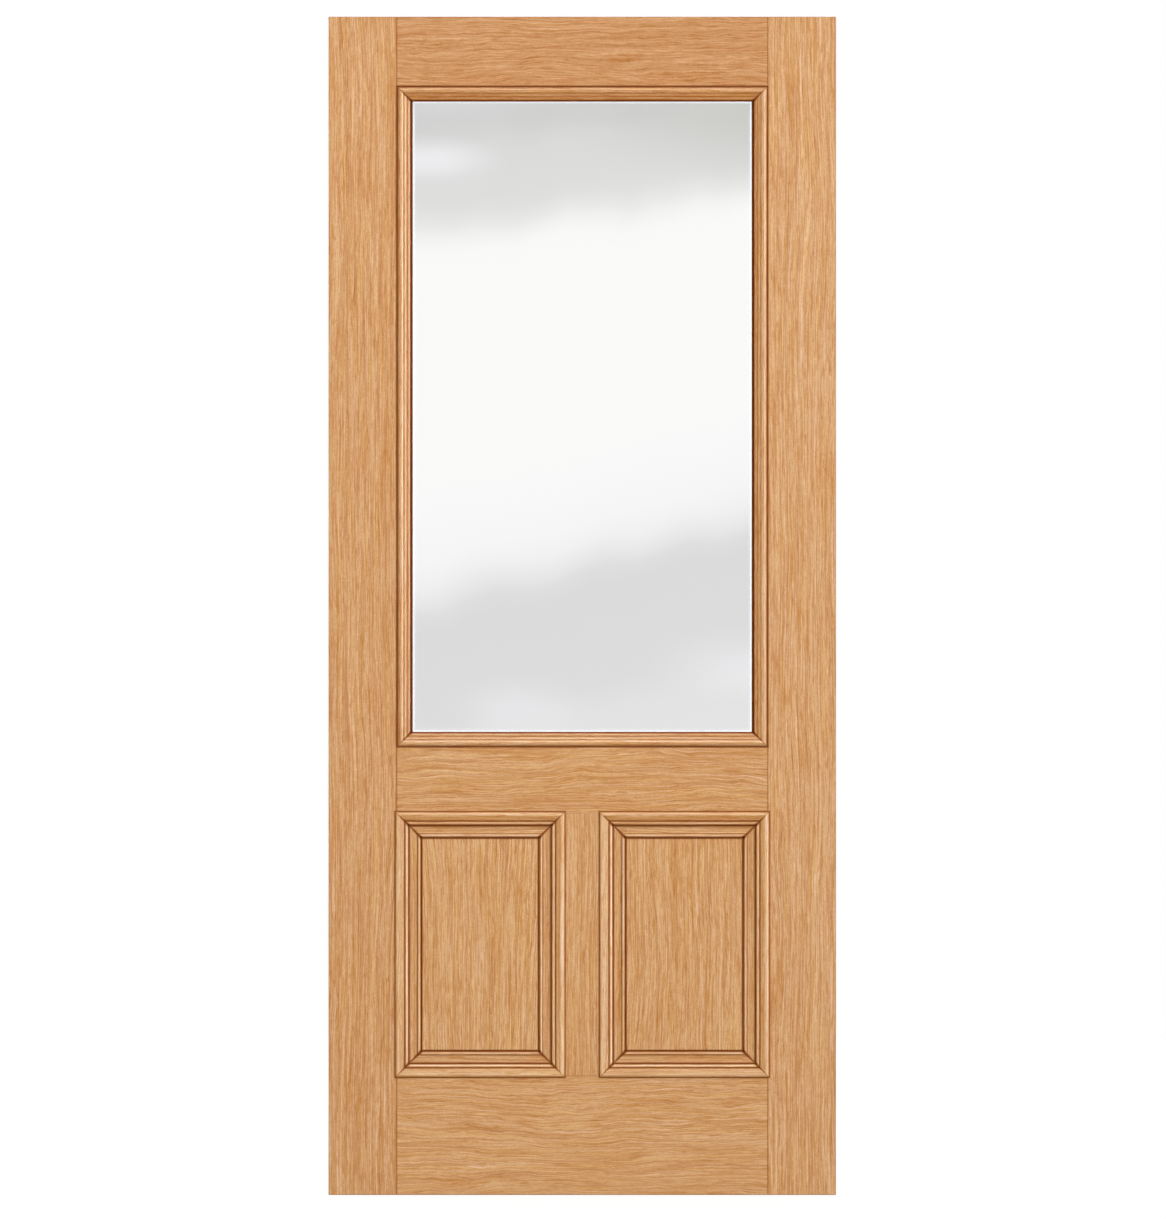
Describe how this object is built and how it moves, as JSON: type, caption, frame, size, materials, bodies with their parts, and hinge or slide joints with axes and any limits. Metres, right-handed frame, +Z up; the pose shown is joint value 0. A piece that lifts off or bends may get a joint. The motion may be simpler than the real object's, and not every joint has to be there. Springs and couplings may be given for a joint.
{
  "type": "half glazed door leaf",
  "caption": "Oak stile and rail door leaf with a large mitre-moulded double glazed light above a pair of upright moulded panels, flat on its hinge edge, ready to hang.",
  "frame": {"origin": "middle of the hinge edge: half way up the leaf and half way through its thickness", "axes": "+X across the leaf from the hinge edge to the lock edge, +Y from the front face to the back face, +Z up"},
  "size_m": [0.9081, 0.0556, 2.1082],
  "materials": {
    "oak_frame": "satin lacquer",
    "oak_moulding": "satin lacquer",
    "oak_panel": "satin lacquer",
    "clear_glass": "polished",
    "spacer_metal": "mill finish",
    "brown_seal": "matt"
  },
  "bodies": {
    "root": {"hinge_stile": "oak_frame", "lock_stile": "oak_frame", "top_rail": "oak_frame", "middle_rail": "oak_frame", "bottom_rail": "oak_frame", "muntin": "oak_frame", "front_glazing_moulding_top": "oak_moulding", "front_glazing_moulding_right": "oak_moulding", "front_glazing_moulding_bottom": "oak_moulding", "front_glazing_moulding_left": "oak_moulding", "back_glazing_moulding_top": "oak_moulding", "back_glazing_moulding_right": "oak_moulding", "back_glazing_moulding_bottom": "oak_moulding", "back_glazing_moulding_left": "oak_moulding", "outer_glass_pane": "clear_glass", "inner_glass_pane": "clear_glass", "glass_spacer_bar": "spacer_metal", "front_glazing_seal": "brown_seal", "back_glazing_seal": "brown_seal", "left_panel": "oak_panel", "left_panel_front_upright_borders": "oak_moulding", "left_panel_front_level_borders": "oak_moulding", "left_panel_front_moulding_top": "oak_moulding", "left_panel_front_moulding_right": "oak_moulding", "left_panel_front_moulding_bottom": "oak_moulding", "left_panel_front_moulding_left": "oak_moulding", "left_panel_back_upright_borders": "oak_moulding", "left_panel_back_level_borders": "oak_moulding", "left_panel_back_moulding_top": "oak_moulding", "left_panel_back_moulding_right": "oak_moulding", "left_panel_back_moulding_bottom": "oak_moulding", "left_panel_back_moulding_left": "oak_moulding", "right_panel": "oak_panel", "right_panel_front_upright_borders": "oak_moulding", "right_panel_front_level_borders": "oak_moulding", "right_panel_front_moulding_top": "oak_moulding", "right_panel_front_moulding_right": "oak_moulding", "right_panel_front_moulding_bottom": "oak_moulding", "right_panel_front_moulding_left": "oak_moulding", "right_panel_back_upright_borders": "oak_moulding", "right_panel_back_level_borders": "oak_moulding", "right_panel_back_moulding_top": "oak_moulding", "right_panel_back_moulding_right": "oak_moulding", "right_panel_back_moulding_bottom": "oak_moulding", "right_panel_back_moulding_left": "oak_moulding"}
  },
  "joints": []
}
